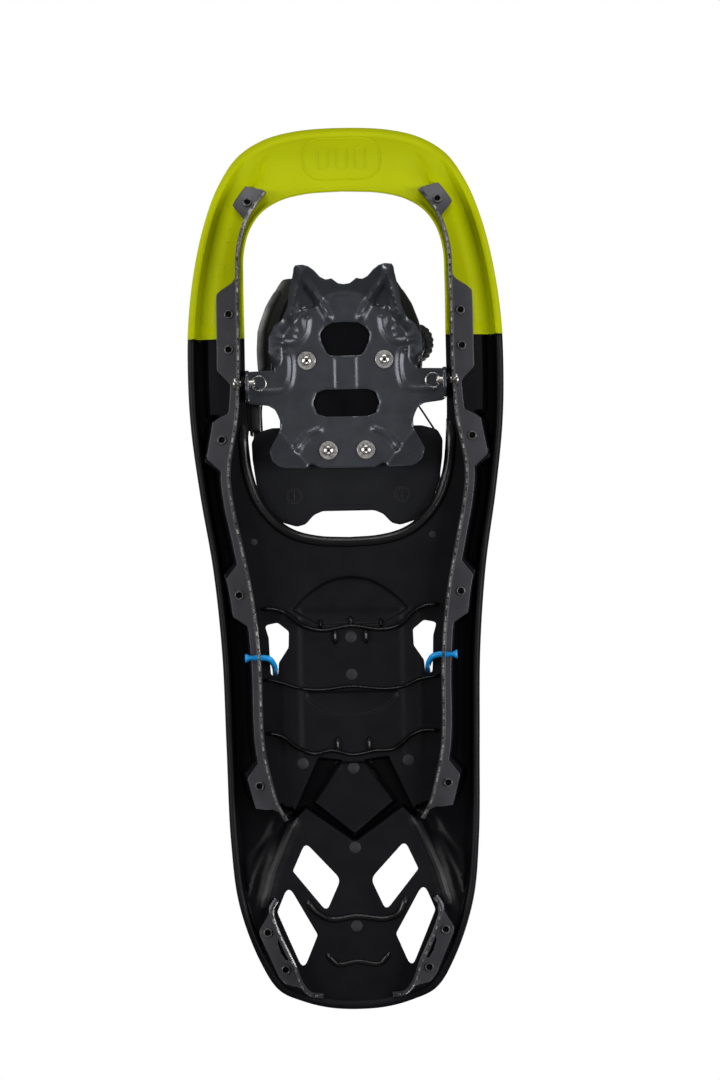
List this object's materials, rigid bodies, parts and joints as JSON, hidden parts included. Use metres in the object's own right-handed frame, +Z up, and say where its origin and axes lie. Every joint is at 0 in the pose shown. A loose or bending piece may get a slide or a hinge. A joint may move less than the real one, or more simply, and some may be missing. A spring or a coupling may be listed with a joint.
{
  "type": "snowshoe",
  "caption": "Moulded-deck snowshoe with toothed steel rails, a pivoting crampon and laced boot binding, heel strap and flip-up heel lift wire.",
  "frame": {"origin": "on the ground under the middle of the deck, in both length and width", "axes": "+Y to the toe, +Z up, +X to the wearer's right; it stands on its rail teeth"},
  "size_m": [0.223, 0.617, 0.1092],
  "materials": {
    "nose_plastic": "satin moulded plastic",
    "deck_plastic": "fine moulded grain",
    "rail_steel": "grey powder coat, worn on the edges",
    "crampon_steel": "smooth grey powder coat",
    "rivet_steel": "dark, satin",
    "plated_steel": "bright plating",
    "bush_plastic": "plain",
    "bail_wire": "satin coating",
    "binding_plastic": "fine moulded grain",
    "wing_rubber": "soft moulded skin",
    "liner_fabric": "knitted cover over foam",
    "guide_plastic": "satin",
    "lace_cable": "stranded cable",
    "knob_rubber": "ribbed grip",
    "strap_rubber": "satin urethane"
  },
  "bodies": {
    "frame": {"nose_shell": "nose_plastic", "rear_deck": "deck_plastic", "side_rail_right": "rail_steel", "tail_rail_right": "rail_steel", "rivet_right_1": "rivet_steel", "rivet_right_2": "rivet_steel", "rivet_right_3": "rivet_steel", "rivet_right_4": "rivet_steel", "rivet_right_5": "rivet_steel", "rivet_right_6": "rivet_steel", "rivet_right_7": "rivet_steel", "rivet_right_8": "rivet_steel", "side_rail_left": "rail_steel", "tail_rail_left": "rail_steel", "rivet_left_1": "rivet_steel", "rivet_left_2": "rivet_steel", "rivet_left_3": "rivet_steel", "rivet_left_4": "rivet_steel", "rivet_left_5": "rivet_steel", "rivet_left_6": "rivet_steel", "rivet_left_7": "rivet_steel", "rivet_left_8": "rivet_steel", "clevis_pin_right": "plated_steel", "pivot_bush_right": "bush_plastic", "clevis_pin_left": "plated_steel", "pivot_bush_left": "bush_plastic"},
    "binding": {"crampon_plate": "crampon_steel", "washer_1": "plated_steel", "screw_1": "plated_steel", "washer_2": "plated_steel", "screw_2": "plated_steel", "washer_3": "plated_steel", "screw_3": "plated_steel", "washer_4": "plated_steel", "screw_4": "plated_steel", "binding_base": "binding_plastic", "heel_plate": "binding_plastic", "binding_wing_right": "wing_rubber", "wing_liner_right": "liner_fabric", "lace_guide_1_right": "guide_plastic", "lace_guide_2_right": "guide_plastic", "strap_arm_right": "binding_plastic", "binding_wing_left": "wing_rubber", "wing_liner_left": "liner_fabric", "lace_guide_1_left": "guide_plastic", "lace_guide_2_left": "guide_plastic", "strap_arm_left": "binding_plastic", "instep_pad": "liner_fabric", "lace": "lace_cable", "dial_housing": "guide_plastic", "heel_strap": "strap_rubber", "heel_pad": "liner_fabric", "buckle_body": "guide_plastic", "buckle_pin": "plated_steel"},
    "ring_right": {"split_ring_right": "plated_steel"},
    "ring_left": {"split_ring_left": "plated_steel"},
    "dial_hub": {"dial_hub": "plated_steel"},
    "dial_knob": {"dial_knob": "knob_rubber"},
    "buckle_lever": {"buckle_lever": "guide_plastic"},
    "heel_lift": {"heel_lift_bail": "bail_wire"}
  },
  "joints": [
    {"name": "binding_pivot", "type": "hinge", "parent": "frame", "child": "binding", "pos_m": [0, 0.1263, 0.015], "axis": [-1, 0, 0], "range_deg": [0, 65]},
    {"name": "right_ring_swing", "type": "hinge", "parent": "frame", "child": "ring_right", "pos_m": [0.0647, 0.1263, 0.015], "axis": [0, -1, 0], "range_deg": [-80, 90]},
    {"name": "left_ring_swing", "type": "hinge", "parent": "frame", "child": "ring_left", "pos_m": [-0.0647, 0.1263, 0.015], "axis": [0, 1, 0], "range_deg": [-80, 90]},
    {"name": "dial_pull", "type": "slide", "parent": "binding", "child": "dial_hub", "axis": [-0.6691, 0, 0.7431], "range_m": [0, 0.0035]},
    {"name": "dial_turn", "type": "hinge", "parent": "dial_hub", "child": "dial_knob", "pos_m": [-0.0425, 0.156, 0.0888], "axis": [-0.6691, 0, 0.7431], "continuous": true},
    {"name": "buckle_lever_swing", "type": "hinge", "parent": "binding", "child": "buckle_lever", "pos_m": [0.071, 0.1115, 0.056], "axis": [0, 0, 1], "range_deg": [0, 60]},
    {"name": "heel_lift_swing", "type": "hinge", "parent": "frame", "child": "heel_lift", "pos_m": [0, -0.063, 0.018], "axis": [-1, 0, 0], "range_deg": [0, 90]}
  ]
}
